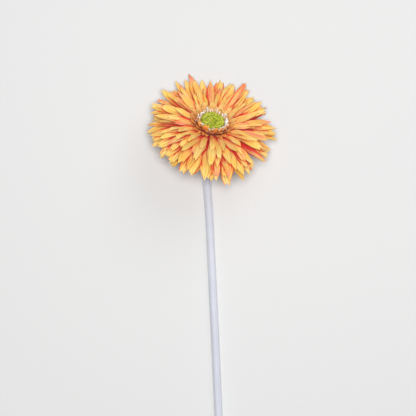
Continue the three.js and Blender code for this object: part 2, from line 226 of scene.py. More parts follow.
class GerberaColours(bpy.types.PropertyGroup):
    # Root, heart and edge are also painted shade where petals and florets cover one another.
    petal_root_and_shade: colour("Petal root", 0x50060D, "Dark crimson where a petal leaves the head")
    petal_heart_and_shade: colour("Petal heart", 0xDC2030, "Crimson of the petal's lower part")
    petal_flame: colour("Petal flame", 0xF0603A, "Red-orange between the crimson and the blade")
    petal_edge_and_shade: colour("Petal edge", 0xE68E40, "Orange of the petal's edges and creases")
    petal_blade: colour("Petal blade", 0xEFCF5E, "Yellow-orange of the blade")
    petal_light: colour("Petal light", 0xF2DE8C, "Light yellow patches of the blade")
    petal_salmon: colour("Petal salmon", 0xF1AD66, "Salmon orange of the warmer petals")
    petal_blush: colour("Petal blush", 0xF8937C, "Coral on a few petals")
    petal_back: colour("Petal back", 0xF6B06A, "The underside of the petals")
    floret: colour("Floret", 0xE88A35, "Deep orange of the short inner florets")
    floret_tip: colour("Floret tip", 0xFBB45C, "Tips of the short inner florets")
    stigma: colour("Stigma", 0xF4F0EE, "White of the stigmas")
    disc_light: colour("Disc light", 0xCFD63A, "Tops of the disc's beads")
    # also painted shade between the disc's beads, besides the dark green of the calyx's streaks and the
    # disc's darker patches
    disc_dark_and_shade: colour("Disc dark", 0x5A6B18, "Between the disc's beads")
    calyx: colour("Calyx", 0x93A878, "Sage green of the cup and its bracts")
    calyx_tip: colour("Calyx tip", 0x8A6F70, "Dull red tips of the bracts")
    stem: colour("Stem", 0xDADCE7, "Pale lavender of the stem")
    stem_streak: colour("Stem streak", 0xC2C4CF, "Faint darker streaks along the stem")
    pith: colour("Pith", 0xE6E6D2, "The stem's cut end")
    floor: colour("Floor", 0xDBDBDA, "The table top")


class GerberaStage(bpy.types.PropertyGroup):
    picture_width: length("Picture width", 358.6, "Width in view at the head")
    camera_distance: length("Camera distance", 1700, "From the camera down to the head")
    key_power: light_power("Key light", 24, "Power of the main soft light")
    fill_power: light_power("Fill light", 6, "Power of the second light")
    surround: FloatProperty(
        name="Surround", description="Strength of the light from all round", default=0.17, min=0
    )


# ---- Random draws, the same on every run ----


class Draw:
    """Draws numbers from 0 to 1, in the same order as the solid model where the seed is the same."""

    def __init__(self, seed):
        self.state = seed

    def __call__(self):
        self.state = (self.state * 1664525 + 1013904223) & 0xFFFFFFFF
        return self.state / 4294967296

    def spread(self, half):
        return (self() * 2 - 1) * half


# ---- Building a piece ----

TABLE_GAP = 0.01  # in millimetres, the least height over the table
COVER_RAYS = 20
COVER_START = 0.3  # in millimetres, how far off the surface the rays start
FACING_LEAST = 0.15  # rays flatter than this to the surface aren't counted


def add_object(name, data):
    item = bpy.data.objects.new(name, data)
    bpy.context.scene.collection.objects.link(item)
    return item


class Piece:
    """Gathers one piece's vertices in millimetres, its faces, and the values that its material reads."""

    # Along a blade, across it, on its underside or not, its own random tone, and its stain's reach.
    VALUES = ("along", "across", "under", "tone", "stain")

    def __init__(self):
        self.points = []
        self.faces = []
        self.rims = []
        self.values = {name: [] for name in self.VALUES}
        self.count = 0

    def add(self, points, faces, rim=False, **values):
        points = np.asarray(points, float).reshape(-1, 3)
        self.points.append(points)
        self.faces.extend([tuple(int(corner) + self.count for corner in face) for face in faces])
        self.rims.append(np.broadcast_to(rim, len(points)))
        for name in self.VALUES:
            self.values[name].append(np.broadcast_to(values.get(name, 0.0), len(points)))
        self.count += len(points)

    def build(self, name, material, node, cover=0):
        """Makes the piece's object. cover is how far off, in millimetres, its vertices look for cover."""
        points = np.concatenate(self.points)
        points[:, 2] = np.maximum(points[:, 2], TABLE_GAP)
        mesh = bpy.data.meshes.new(name)
        mesh.from_pydata((points * METRES).tolist(), [], self.faces)
        for value_name in self.VALUES:
            attribute = mesh.attributes.new(value_name, "FLOAT", "POINT")
            attribute.data.foreach_set("value", np.concatenate(self.values[value_name]).astype(np.float32))
        mesh.shade_smooth()
        rim = np.concatenate(self.rims)
        ends = np.empty(2 * len(mesh.edges), np.int32)
        mesh.edges.foreach_get("vertices", ends)
        sharp = mesh.attributes.new("sharp_edge", "BOOLEAN", "EDGE")
        sharp.data.foreach_set("value", rim[ends.reshape(-1, 2)].all(1))
        # the share of each vertex that the piece itself covers, which the materials paint as shade
        if cover:
            occlusion_shade = mesh.attributes.new("occlusion_shade", "FLOAT", "POINT")
            occlusion_shade.data.foreach_set("value", hidden_shares(mesh, cover * METRES))
        mesh.materials.append(material)
        piece = add_object(name, mesh)
        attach(piece, "root")
        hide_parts(node)
        return piece


def hidden_shares(mesh, cover):
    """For each vertex, the share of the space before it that the mesh itself hides within a distance."""
    count = len(mesh.vertices)
    places, normals = np.empty(3 * count, np.float32), np.empty(3 * count, np.float32)
    mesh.vertices.foreach_get("co", places)
    mesh.vertex_normals.foreach_get("vector", normals)
    places, normals = places.reshape(-1, 3), normals.reshape(-1, 3)
    starts = places + normals * (COVER_START * METRES)
    tree = BVHTree.FromPolygons(places.tolist(), [tuple(face.vertices) for face in mesh.polygons])
    steps = np.arange(COVER_RAYS) + 0.5
    level = 1 - 2 * steps / COVER_RAYS
    turn = steps * GOLDEN_ANGLE
    flat = np.sqrt(1 - level**2)
    rays = np.stack([flat * np.cos(turn), flat * np.sin(turn), level], 1)
    facing = normals @ rays.T
    facing[facing < FACING_LEAST] = 0
    struck = np.zeros(count)
    directions = [Vector(ray) for ray in rays]
    for place in range(count):
        start = Vector(starts[place])
        for ray in np.flatnonzero(facing[place]):
            if tree.ray_cast(start, directions[ray], cover)[0] is not None:
                struck[place] += facing[place, ray]
    return (struck / facing.sum(1)).astype(np.float32)


def spoke(azimuth):
    """The directions outwards and sideways at an azimuth of the head's frame."""
    return (
        np.array([math.cos(azimuth), math.sin(azimuth), 0.0]),
        np.array([-math.sin(azimuth), math.cos(azimuth), 0.0]),
    )


def on_head(points):
    """Points of the head's frame as points over the table."""
    return points @ HEAD_BASIS + HEAD_PLACE


def grid_faces(ids):
    """Quads over a grid of vertex numbers."""
    return np.stack([ids[:-1, :-1], ids[1:, :-1], ids[1:, 1:], ids[:-1, 1:]], -1).reshape(-1, 4)


def ring_angles(sides):
    return np.linspace(0, 2 * math.pi, sides, endpoint=False)


def ring_faces(rows, sides):
    """Quads between rings that run anticlockwise, and then the first ring and the last as flat ends."""
    ids = np.arange(rows * sides).reshape(rows, sides)
    walls = grid_faces(np.concatenate([ids, ids[:, :1]], 1))[:, [0, 3, 2, 1]]
    return [*walls, ids[0, ::-1], ids[-1]]


def turned(profile, sides):
    """A closed turned solid: its points, and its faces with a flat bottom and top."""
    angles = ring_angles(sides)
    rings = [
        np.stack([radius * np.cos(angles), radius * np.sin(angles), np.full(sides, height)], 1)
        for radius, height in profile
    ]
    return np.concatenate(rings), ring_faces(len(profile), sides)


def tube(centres, radii, sides, reference):
    """A round closed tube along centres, whose rings are turned alike by the reference direction."""
    centres = np.asarray(centres, float)
    ahead = np.gradient(centres, axis=0)
    ahead /= np.linalg.norm(ahead, axis=1, keepdims=True)
    side = np.cross(reference, ahead)
    side /= np.linalg.norm(side, axis=1, keepdims=True)
    up = np.cross(ahead, side)
    angles = ring_angles(sides)
    radii = np.asarray(radii, float).reshape(len(centres), -1, 1)
    around = np.cos(angles)[None, :, None] * side[:, None] + np.sin(angles)[None, :, None] * up[:, None]
    points = (centres[:, None] + radii * around).reshape(-1, 3)
    return points, ring_faces(len(centres), sides)


# ---- Blades: petals, florets and bracts ----

CREASES = 3  # lengthwise creases over a blade's width


def claw_share(s):
    """A blade's width from its root to its widest place, as a share of its full width."""
    return CLAW_SHARE + (1 - CLAW_SHARE) * np.sin(math.pi / 2 * s / WIDEST_AT) ** 1.2


def width_share(s):
    """A solid blade's width at a place along it, as a share of its full width."""
    if s < WIDEST_AT:
        return claw_share(s)
    return (1 - ((s - WIDEST_AT) / (1 - WIDEST_AT)) ** 1.9) ** 0.65


def blade_surface(blade, s, across):
    """Points of a blade's upper face, and the face's normals, as the solid model places them."""
    azimuth = blade["azimuth"]
    bend = blade["droop"] - blade["rise"] or 1e-6
    elevation = blade["rise"] + bend * s
    reach = blade["length"] / bend
    radius = blade["root_radius"] + reach * (np.sin(elevation) - math.sin(blade["rise"]))
    height = blade["root_height"] + reach * (math.cos(blade["rise"]) - np.cos(elevation))
    out, side = spoke(azimuth)
    elevation, turn = elevation[..., None], (blade["roll"] * s)[..., None]
    normal = -np.sin(elevation) * out + np.cos(elevation) * UP
    crosswise = np.cos(turn) * side + np.sin(turn) * normal
    face_normal = np.cos(turn) * normal - np.sin(turn) * side
    half = blade["width"] / 2
    points = (
        radius[..., None] * out
        + height[..., None] * UP
        + (blade["sway"] * blade["length"] * s**2)[..., None] * side
        + (across * half)[..., None] * crosswise
    )
    return points, face_normal


def blade_lowest(blade):
    """The height over the table of the lowest corner that the blade has in the solid model."""
    corners = [(s, share * width_share(s)) for s in BLADE_STATIONS for share in (-1, 0, 1)]
    s, across = np.array(corners + TIPS[blade["teeth"]], float).T
    points, normals = blade_surface(blade, s, across)
    points = points + (blade["fold"] * np.abs(across) * blade["width"] / 2)[:, None] * normals
    under = points - PETAL_THICKNESS * normals
    return on_head(np.concatenate([points, under]))[:, 2].min()


def lifted(blade, angle):
    """A blade bent up by an angle, its tip more than its root."""
    return {**blade, "rise": blade["rise"] + angle * 0.5, "droop": blade["droop"] + angle * 1.5}


def blade_outline(teeth, rows, cols):
    """Where a blade's grid of points lies, along it and across it, and its even places across."""
    t = np.linspace(0, 1, rows)[:, None]
    u = np.linspace(-1, 1, cols)[None, :]
    knots = TIPS[teeth] if teeth > 1 else [(0.985, -0.07), (1, 0), (0.985, 0.07)]
    places = np.linspace(-1, 1, len(knots))
    tip_s = np.interp(u, places, [s for s, _ in knots])
    tip_across = np.interp(u, places, [across for _, across in knots])
    lower = np.minimum(t, WIDEST_AT)
    past = np.clip((t - WIDEST_AT) / (1 - WIDEST_AT), 0, 1)
    s = lower + past * (tip_s - WIDEST_AT)
    narrowing = past**2.3
    across = u * claw_share(lower) * (1 - narrowing) + tip_across * narrowing
    return s, across, np.broadcast_to(u, s.shape)


def add_blade(piece, blade, grid, relief, tone, stain=0.0):
    """Adds a blade as a closed thin shell whose relief is its creases, waves and curl in millimetres."""
    rows, cols = grid
    s, across, u = blade_outline(blade["teeth"], rows, cols)
    uneven = np.sin(9 * s + relief["phase"]) + np.sin(17 * s + 3 * relief["phase"] + 1.5 * np.sign(u))
    across = across * (1 + 0.055 * uneven * np.clip((1 - s) / 0.2, 0, 1))
    across = across * (1 - relief.get("point", 0) * np.clip((s - 0.3) / 0.7, 0, 1) ** 1.4)
    points, normals = blade_surface(blade, s, across)
    half = blade["width"] / 2
    fade = np.clip(s / 0.25, 0, 1) * np.clip((1 - s) / 0.12, 0, 1)
    fold = blade["fold"] * half * (np.sqrt(across**2 + 0.02) - math.sqrt(0.02))
    creases = -relief["crease"] * np.cos(CREASES * math.pi * u) * fade
    fine = -0.25 * relief["crease"] * np.cos(3 * CREASES * math.pi * u + relief["phase"]) * fade
    ripple = np.sin(2 * math.pi * (relief["ripples"] * s + relief["phase"] + 0.2 * u))
    waves = relief["wave"] * u**2 * ripple * s
    curl = relief["curl"] * np.clip((s - 0.6) / 0.4, 0, 1) ** 2 + relief["cup"] * (across * s) ** 2
    upper = points + (fold + creases + fine + waves + curl)[..., None] * normals
    thick = relief["thickness"] * np.sqrt(np.clip(1 - u**4, 0, 1)) * np.clip((1 - s) / 0.2 + 0.25, 0, 1)
    under = upper - thick[..., None] * normals

    top = np.arange(rows * cols).reshape(rows, cols)
    rim = np.ones((rows, cols), bool)
    rim[1:-1, 1:-1] = False
    bottom = top.copy()
    bottom[1:-1, 1:-1] = rows * cols + np.arange((rows - 2) * (cols - 2)).reshape(rows - 2, -1)
    inner = ~rim
    piece.add(
        on_head(np.concatenate([upper.reshape(-1, 3), under[inner]])),
        np.concatenate([grid_faces(top), grid_faces(bottom)[:, ::-1]]),
        rim=np.concatenate([rim.ravel(), np.zeros(inner.sum(), bool)]),
        along=np.concatenate([s.ravel(), s[inner]]),
        across=np.concatenate([u.ravel(), u[inner]]),
        under=np.concatenate([np.zeros(rows * cols), np.ones(inner.sum())]),
        tone=tone,
        stain=stain,
    )


# ---- Materials ----

NODE_SPACING = 220
TONE_STEP = 57.0  # sets the streaks of blades with unlike tones far apart in the noise
GLOW_DEPTH = 0.5  # in millimetres, how deep light scatters under a surface


def put(tree, kind, inputs=None, **settings):
    """A new node with its settings, and its inputs linked or set."""
    node = tree.nodes.new(kind)
    node.location.x = NODE_SPACING * len(tree.nodes)
    for name, value in settings.items():
        setattr(node, name, value)
    for name, value in (inputs or {}).items():
        if isinstance(value, bpy.types.NodeSocket):
            tree.links.new(value, node.inputs[name])
        else:
            node.inputs[name].default_value = value
    return node


def maths(tree, operation, a, b=0.0, c=0.0):
    return put(tree, "ShaderNodeMath", {0: a, 1: b, 2: c}, operation=operation).outputs[0]


def times(tree, a, b):
    return maths(tree, "MULTIPLY", a, b)


def rescaled(tree, value, low, high, to_low=0.0, to_high=1.0):
    inputs = {"Value": value, "From Min": low, "From Max": high, "To Min": to_low, "To Max": to_high}
    return put(tree, "ShaderNodeMapRange", inputs, interpolation_type="SMOOTHSTEP").outputs["Result"]


def mixed(tree, share, a, b):
    a, b = (x if isinstance(x, bpy.types.NodeSocket) else (*x[:3], 1.0) for x in (a, b))
    return put(tree, "ShaderNodeMix", {0: share, 6: a, 7: b}, data_type="RGBA").outputs[2]


def layered(tree, base, *coats):
    """A colour with others laid over it, each by its share."""
    for share, coat in coats:
        base = mixed(tree, share, base, coat)
    return base


def ramp(tree, value, *stops):
    node = put(tree, "ShaderNodeValToRGB", {"Fac": value})
    elements = node.color_ramp.elements
    while len(elements) < len(stops):
        elements.new(0.5)
    for element, (place, shade) in zip(elements, stops):
        element.position = place
        element.color = (*shade[:3], 1.0)
    return node.outputs["Color"]


def noise(tree, place, scale, detail, roughness=0.5):
    inputs = {"Vector": place, "Scale": scale, "Detail": detail, "Roughness": roughness}
    return put(tree, "ShaderNodeTexNoise", inputs).outputs["Fac"]


def vertex_values(tree, *names):
    return [put(tree, "ShaderNodeAttribute", attribute_name=name).outputs["Fac"] for name in names]


def shared(tree, name, given, fill, *results):
    """Places a node group, which fill makes where it is first asked for, and returns its outputs."""
    group = bpy.data.node_groups.get(name)
    if group is None:
        group = bpy.data.node_groups.new(name, "ShaderNodeTree")
        for in_out, sockets in (("INPUT", given), ("OUTPUT", results)):
            for socket in sockets:
                group.interface.new_socket(socket, in_out=in_out, socket_type="NodeSocketFloat")
        values = fill(group, put(group, "NodeGroupInput").outputs)
        put(group, "NodeGroupOutput", dict(zip(results, values)))
    node = put(tree, "ShaderNodeGroup", given, node_tree=group)
    return [node.outputs[result] for result in results]


def fill_streaks(group, given):
    inputs = {
        "X": times(group, given["Across"], given["Count"]),
        "Y": times(group, given["Along"], given["Stretch"]),
        "Z": times(group, given["Tone"], TONE_STEP),
    }
    place = put(group, "ShaderNodeCombineXYZ", inputs).outputs[0]
    broad = noise(group, place, 0.6, 3.0, 0.6)
    fine = noise(group, place, 2.6, 2.0)
    return rescaled(group, broad, 0.3, 0.7), rescaled(group, fine, 0.35, 0.65)


def streaks(tree, along, across, tone, count, stretch):
    """Broad streaks and fine veins that run along a blade or a stem, different on each."""
    given = {"Along": along, "Across": across, "Tone": tone, "Count": count, "Stretch": stretch}
    return shared(tree, "Lengthwise streaks", given, fill_streaks, "Streak", "Vein")


def fill_mottle(group, given):
    place = put(group, "ShaderNodeTexCoord").outputs["Object"]
    patch = noise(group, place, given["Patch Scale"], 3.0)
    return rescaled(group, patch, 0.3, 0.7), noise(group, place, given["Grain Scale"], 2.0)


def mottle(tree, patch_scale, grain_scale):
    """Soft patches and a fine grain over a surface."""
    given = {"Patch Scale": patch_scale, "Grain Scale": grain_scale}
    return shared(tree, "Soft mottle", given, fill_mottle, "Patch", "Grain")


def new_material(name):
    """A material without nodes yet, and its node tree."""
    material = bpy.data.materials.new(name)
    material.use_nodes = True
    material.node_tree.nodes.clear()
    return material, material.node_tree


def finish(material, shade, height, depth, roughness=0.5, sheen=0.0, subsurface=0.0, glow=(1.0, 0.7, 0.5)):
    """Gives a material its shader. height is the bump's, and depth is how deep it is in millimetres."""
    tree = material.node_tree
    bump = put(tree, "ShaderNodeBump", {"Height": height, "Distance": depth * METRES, "Strength": 1.0})
    inputs = {
        "Base Color": shade,
        "Roughness": roughness,
        "Normal": bump.outputs[0],
        "Sheen Weight": sheen,
        "Sheen Roughness": 0.4,
        "Subsurface Weight": subsurface,
        "Subsurface Radius": glow,
        "Subsurface Scale": GLOW_DEPTH * METRES,
        "Specular IOR Level": 0.35,
    }
    shader = put(tree, "ShaderNodeBsdfPrincipled", inputs)
    put(tree, "ShaderNodeOutputMaterial", {"Surface": shader.outputs[0]})
    return material


def petal_material(colours):
    """Yellow-orange blades, stained crimson from the root as far as each petal's own stain reaches."""
    material, tree = new_material("Petal")
    along, across, under, tone, stain, occlusion_shade = vertex_values(tree, *Piece.VALUES, "occlusion_shade")
    streak, vein = streaks(tree, along, across, tone, 5.0, 1.4)
    patch, _ = mottle(tree, 110.0, 2500.0)
    sideways = maths(tree, "ABSOLUTE", across)

    warmth = put(tree, "ShaderNodeTexWhiteNoise", {"W": tone}, noise_dimensions="1D").outputs["Value"]
    warm = times(tree, rescaled(tree, warmth, 0.4, 1.0), rescaled(tree, streak, 0.0, 0.9, 0.0, 0.6))
    band = times(tree, rescaled(tree, along, 0.35, 0.6), rescaled(tree, along, 1.0, 0.8))
    band = times(tree, band, rescaled(tree, streak, 0.1, 0.5))
    blushing = times(tree, rescaled(tree, tone, 0.88, 0.92), band)
    tipped = times(tree, rescaled(tree, tone, 0.09, 0.06), rescaled(tree, along, 0.7, 0.95))
    groove_shade = maths(tree, "COSINE", times(tree, across, CREASES * math.pi))
    blade = layered(
        tree,
        mixed(tree, patch, colours.petal_blade, colours.petal_light),
        (warm, colours.petal_salmon),
        (rescaled(tree, along, 0.75, 0.3, 0.0, 0.6), colours.petal_salmon),
        (times(tree, blushing, 0.9), colours.petal_blush),
        (times(tree, tipped, 0.85), colours.petal_blush),
        # painted shade: orange along the grooves of the creases
        (rescaled(tree, groove_shade, 0.2, 1.0, 0.0, 0.4), colours.petal_edge_and_shade),
        (times(tree, vein, rescaled(tree, along, 1.0, 0.7, 0.1, 0.3)), colours.petal_edge_and_shade),
        (times(tree, maths(tree, "POWER", sideways, 7.0), 0.75), colours.petal_edge_and_shade),
    )

    reach = maths(tree, "DIVIDE", along, stain)
    reach = maths(tree, "MULTIPLY_ADD", streak, -0.35, reach)
    reach = maths(tree, "MULTIPLY_ADD", maths(tree, "POWER", sideways, 4.0), -0.5, reach)
    flushed = times(tree, rescaled(tree, tone, 0.99, 1.0), rescaled(tree, along, 0.62, 0.98))
    face = layered(
        tree,
        mixed(tree, rescaled(tree, along, 0.02, 0.1), colours.petal_root_and_shade, colours.petal_heart_and_shade),
        (rescaled(tree, reach, 0.2, 0.55), colours.petal_flame),
        (rescaled(tree, reach, 0.35, 0.75), blade),
        # painted shade: orange, then crimson, where other petals cover a place
        (rescaled(tree, occlusion_shade, 0.35, 0.75, 0.0, 0.35), colours.petal_edge_and_shade),
        (rescaled(tree, occlusion_shade, 0.5, 0.9, 0.0, 0.9), colours.petal_heart_and_shade),
        (times(tree, flushed, 0.7), colours.petal_flame),
    )
    back = mixed(tree, rescaled(tree, reach, 0.0, 0.6), colours.petal_flame, colours.petal_back)
    back = mixed(tree, times(tree, vein, 0.3), back, colours.petal_edge_and_shade)
    ridges = times(tree, vein, rescaled(tree, along, 1.0, 0.7))
    skin = mixed(tree, under, face, back)
    return finish(material, skin, ridges, 0.09, roughness=0.55, sheen=0.1, subsurface=0.12)


def floret_material(colours):
    """Deep orange in front, nearer the petals' colour further back, and painted shade where covered, most in
    front.
    """
    material, tree = new_material("Inner floret")
    along, across, tone, stain, occlusion_shade = vertex_values(tree, "along", "across", "tone", "stain", "occlusion_shade")
    streak, vein = streaks(tree, along, across, tone, 3.0, 1.2)
    bled = maths(tree, "MULTIPLY_ADD", streak, -0.2, along)
    stained = ramp(
        tree,
        bled,
        (0.0, colours.petal_root_and_shade),
        (0.12, colours.petal_heart_and_shade),
        (0.3, colours.floret),
        (0.95, colours.floret_tip),
    )
    pale = mixed(tree, streak, colours.petal_light, colours.petal_salmon)
    # painted shade: dark crimson where florets cover one another, strongest towards the front
    gap_shade = rescaled(tree, occlusion_shade, 0.6, 1.0, 0.0, 0.8)
    face = layered(
        tree,
        stained,
        (rescaled(tree, stain, 0.75, 0.25, 0.0, 0.8), pale),
        (times(tree, gap_shade, rescaled(tree, stain, 0.5, 0.9, 0.3, 1.0)), colours.petal_root_and_shade),
        (times(tree, vein, 0.25), colours.floret),
    )
    return finish(material, face, vein, 0.1, roughness=0.5, sheen=0.1, subsurface=0.12)


def stigma_material(colours):
    material, tree = new_material("Stigma")
    (along,) = vertex_values(tree, "along")
    patch, grain = mottle(tree, 700.0, 4000.0)
    foot = mixed(tree, rescaled(tree, along, 0.0, 0.4), colours.floret, colours.stigma)
    white = mixed(tree, times(tree, patch, 0.12), foot, colours.petal_light)
    return finish(
        material, white, grain, 0.05, roughness=0.55, sheen=0.2, subsurface=0.2, glow=(1.0, 0.9, 0.8)
    )


def disc_material(colours):
    material, tree = new_material("Disc")
    along, tone = vertex_values(tree, "along", "tone")
    patch, grain = mottle(tree, 420.0, 3000.0)
    shade = times(tree, rescaled(tree, tone, 0.3, 0.9), rescaled(tree, patch, 0.7, 0.3, 0.2, 0.65))
    # each bead goes from dark at its foot to light at its top: painted shade between the beads
    bead = layered(
        tree,
        mixed(tree, rescaled(tree, along, 0.1, 0.9), colours.disc_dark_and_shade, colours.disc_light),
        (shade, colours.disc_dark_and_shade),
        (times(tree, rescaled(tree, tone, 0.3, 0.0), 0.4), colours.petal_light),
    )
    return finish(material, bead, grain, 0.06, roughness=0.6, subsurface=0.1, glow=(0.6, 1.0, 0.2))


def calyx_material(colours):
    material, tree = new_material("Calyx")
    along, across, tone = vertex_values(tree, "along", "across", "tone")
    streak, vein = streaks(tree, along, across, tone, 4.0, 1.0)
    patch, grain = mottle(tree, 300.0, 3500.0)
    green = layered(
        tree,
        colours.calyx,
        (times(tree, streak, 0.35), colours.disc_dark_and_shade),
        (rescaled(tree, along, 0.6, 1.0, 0.0, 0.8), colours.calyx_tip),
        (times(tree, patch, 0.15), colours.stem),
    )
    return finish(material, green, maths(tree, "ADD", vein, grain), 0.1, roughness=0.7, sheen=0.3)


def stem_material(colours):
    material, tree = new_material("Stem")
    along, across, under = vertex_values(tree, "along", "across", "under")
    streak, vein = streaks(tree, along, across, 0.3, 9.0, 3.0)
    patch, grain = mottle(tree, 90.0, 2500.0)
    skin = layered(
        tree,
        colours.stem,
        (times(tree, streak, 0.5), colours.stem_streak),
        (times(tree, patch, 0.25), colours.stem_streak),
        (rescaled(tree, along, 0.12, 0.0), colours.calyx),
        (under, colours.pith),
    )
    ridges = maths(tree, "ADD", vein, grain)
    return finish(
        material, skin, ridges, 0.06, roughness=0.45, sheen=0.6, subsurface=0.1, glow=(0.8, 0.9, 0.7)
    )


def floor_material(colours):
    material, tree = new_material("Table top")
    patch, grain = mottle(tree, 3.0, 600.0)
    pale = mixed(tree, times(tree, patch, 0.02), colours.floor, colours.stem_streak)
    return finish(material, pale, grain, 0.02, roughness=0.8)


# ---- The pieces of the flower ----

PETAL_GRID = (25, 11)  # points along a blade, and across it
FLORET_GRID = (16, 9)
BRACT_GRID = (18, 9)
CORE_SIDES = 60
RING_SIDES = 48
EVEN_JITTER = 0.15  # how far a blade stands off its even place, as a share of the spacing
LOOSE_JITTER = 0.45

MIDDLE_STAIN = 0.44  # the lower whorls have more stain than this, and the upper ones less
SLIMMING = 0.9  # the width of a finished petal, as a share of the solid one's
TWIST = 12  # in degrees, how far a petal is turned further at its tip
SWAY = 0.05  # how far a petal is bent further sideways, as a share of its length
STRAY_STRETCH = 1.05
STRAY_TONE = 1.0  # added to a stray petal's tone, so that its tip is flushed


def frontness(points):
    """How far round each point of the head's frame lies, from 0 at the side that leans down to 1."""
    return (1 - points[:, 1] / np.hypot(points[:, 0], points[:, 1])) / 2


def around(draw, row, jitter):
    """The azimuths of a ring of blades, each a little off its even place."""
    for place in range(row["count"]):
        yield math.radians(row["first"] + 360 / row["count"] * (place + draw.spread(jitter)))


def petal_blade(draw, base, azimuth):
    """A petal at its place in a whorl, lifted as far as the table needs."""
    tilt = draw.spread(4)
    reach = 1 + SIDE_SHARE * math.cos(azimuth) + BROAD_SHARE * math.cos(2 * azimuth)
    leans = max(0.0, math.sin(azimuth))
    at_shoulder = leans and abs(math.sin(2 * azimuth)) ** 0.7
    blade = dict(
        azimuth=azimuth,
        root_radius=base["radius"] - ROOT_SUNK,
        root_height=base["height"],
        length=base["length"] * reach * (1 + draw.spread(0.07)) + ROOT_SUNK,
        width=base["width"] * (1 + draw.spread(0.08)),
        rise=math.radians(base["rise"] + tilt * 0.4),
        droop=math.radians(base["droop"] + tilt * 1.6),
        sway=draw.spread(0.05),
        roll=math.radians(draw.spread(18)),
        fold=0.16 + draw.spread(0.1),
        teeth=TEETH_DRAWN[int(draw() * len(TEETH_DRAWN))],
        stain=base["stain"],
        stray="azimuth" in base,
    )
    hang = HANG * max(0.0, -math.sin(azimuth))
    blade = lifted(blade, math.radians(base["push"] * leans + base["up"] * at_shoulder) - hang)
    while blade_lowest(blade) < -PRESSED:
        blade = lifted(blade, LIFT_STEP)
    return blade


def whorl_blades(draw, rows, jitter):
    return [petal_blade(draw, row, azimuth) for row in rows for azimuth in around(draw, row, jitter)]


def petal_blades():
    """The solid model's petals, and then those that fill the gaps between its whorls."""
    draw = Draw(PETAL_SEED)
    blades = whorl_blades(draw, WHORLS, EVEN_JITTER)
    blades += [petal_blade(draw, stray, math.radians(stray["azimuth"])) for stray in STRAYS]
    return blades + whorl_blades(Draw(PETAL_SEED + 2), BETWEEN, LOOSE_JITTER)


def finish_petal(blade, look):
    """Gives a blade the finished petal's width, twist and length, and returns its tone and its stain."""
    leans = max(0.0, math.sin(blade["azimuth"]))
    hangs = max(0.0, -math.sin(blade["azimuth"]))
    lower = blade["stain"] - MIDDLE_STAIN
    spread = 1 + 0.25 * hangs + 0.2 * leans + 2.4 * leans * lower
    stain = blade["stain"] * spread * (1 + look.spread(0.3))
    blade["width"] *= SLIMMING + 0.9 * hangs * lower - leans * (0.25 - 0.6 * lower)
    blade["roll"] += math.radians(look.spread(TWIST))
    blade["sway"] += look.spread(SWAY) + 0.03 * math.sin(2 * blade["azimuth"] + 0.6)
    tone = look()
    if blade["stray"]:
        blade["length"] *= STRAY_STRETCH
        tone += STRAY_TONE
    return tone, stain


class GERBERA_OT_petals(bpy.types.Operator):
    """Build the petals in their whorls, on the part of the head that carries them"""

    bl_idname = "gerbera.petals"
    bl_label = "Petals"

    def execute(self, context):
        shape, colours = context.scene.gerbera_shape, context.scene.gerbera_colours
        look = Draw(PETAL_SEED + 1)
        piece = Piece()
        points, faces = turned(CORE, CORE_SIDES)
        # The core is crimson, painted darker towards the front as the shade of the gap under the florets
        # there.
        piece.add(on_head(points), faces, along=0.1 * (1 - frontness(points)) ** 2, stain=1.0)
        for blade in petal_blades():
            relief = dict(
                thickness=shape.petal_thickness / METRES,
                crease=shape.crease_depth / METRES * (1 + look.spread(0.5)),
                wave=shape.edge_wave / METRES * (1 + look.spread(0.6)),
                ripples=1.6 + look.spread(0.8),
                phase=look() * 2 * math.pi,
                curl=shape.tip_curl / METRES * look.spread(1),
                cup=look.spread(0.5),
            )
            tone, stain = finish_petal(blade, look)
            add_blade(piece, blade, PETAL_GRID, relief, tone, stain)
        piece.build("ray_petals", petal_material(colours), "petals", cover=10)
        return {"FINISHED"}


def row_blades(draw, row, stretch, rise_tilt, droop_tilt, sway, roll):
    """The blades of a ring of short florets or bracts, with the solid model's draws in its order."""
    for azimuth in around(draw, row, row["jitter"]):
        yield dict(
            azimuth=azimuth,
            root_radius=row["radius"],
            root_height=row["height"],
            length=row["length"] * (1 + draw.spread(stretch)),
            width=row["width"],
            rise=math.radians(row["rise"] + (draw.spread(rise_tilt) if rise_tilt else 0)),
            droop=math.radians(row["droop"] + draw.spread(droop_tilt)),
            sway=draw.spread(sway),
            roll=math.radians(draw.spread(roll)),
            fold=0.2,
            teeth=1,
        )


class GERBERA_OT_collar(bpy.types.Operator):
    """Build the rows of short inner florets round the disc, upright ones and low ones"""

    bl_idname = "gerbera.collar"
    bl_label = "Inner Florets"

    def execute(self, context):
        colours = context.scene.gerbera_colours
        draw, look = Draw(COLLAR_SEED), Draw(COLLAR_SEED + 1)
        piece = Piece()
        points, faces = turned(COLLAR_RING, RING_SIDES)
        front = frontness(points)
        # The ring is painted dark crimson at the front as the shade of the gap there, and orange further
        # back.
        piece.add(on_head(points), faces[:-2], along=0.3 * (1 - front) ** 2, stain=front)
        for row in COLLAR_ROWS:
            for blade in row_blades(draw, row, 0.12, 4, 6, 0.04, 14):
                relief = dict(
                    thickness=0.45,
                    crease=0.16,
                    wave=0.2,
                    ripples=1.2 + look.spread(0.5),
                    phase=look() * 2 * math.pi,
                    curl=look.spread(1.2),
                    cup=0.2,
                )
                tip = math.radians(look.spread(8))
                blade["rise"] += tip
                blade["droop"] += tip
                blade["width"] *= 1 + look.spread(0.18)
                # how far to the front the floret stands, kept as its stain: its gaps get more painted shade
                # there, and it is paler further back
                front_share = (1 - math.sin(blade["azimuth"])) / 2
                add_blade(piece, blade, FLORET_GRID, relief, look(), front_share)
        material = floret_material(colours)
        piece.build("inner_florets", material, "collar_florets", cover=4)
        return {"FINISHED"}


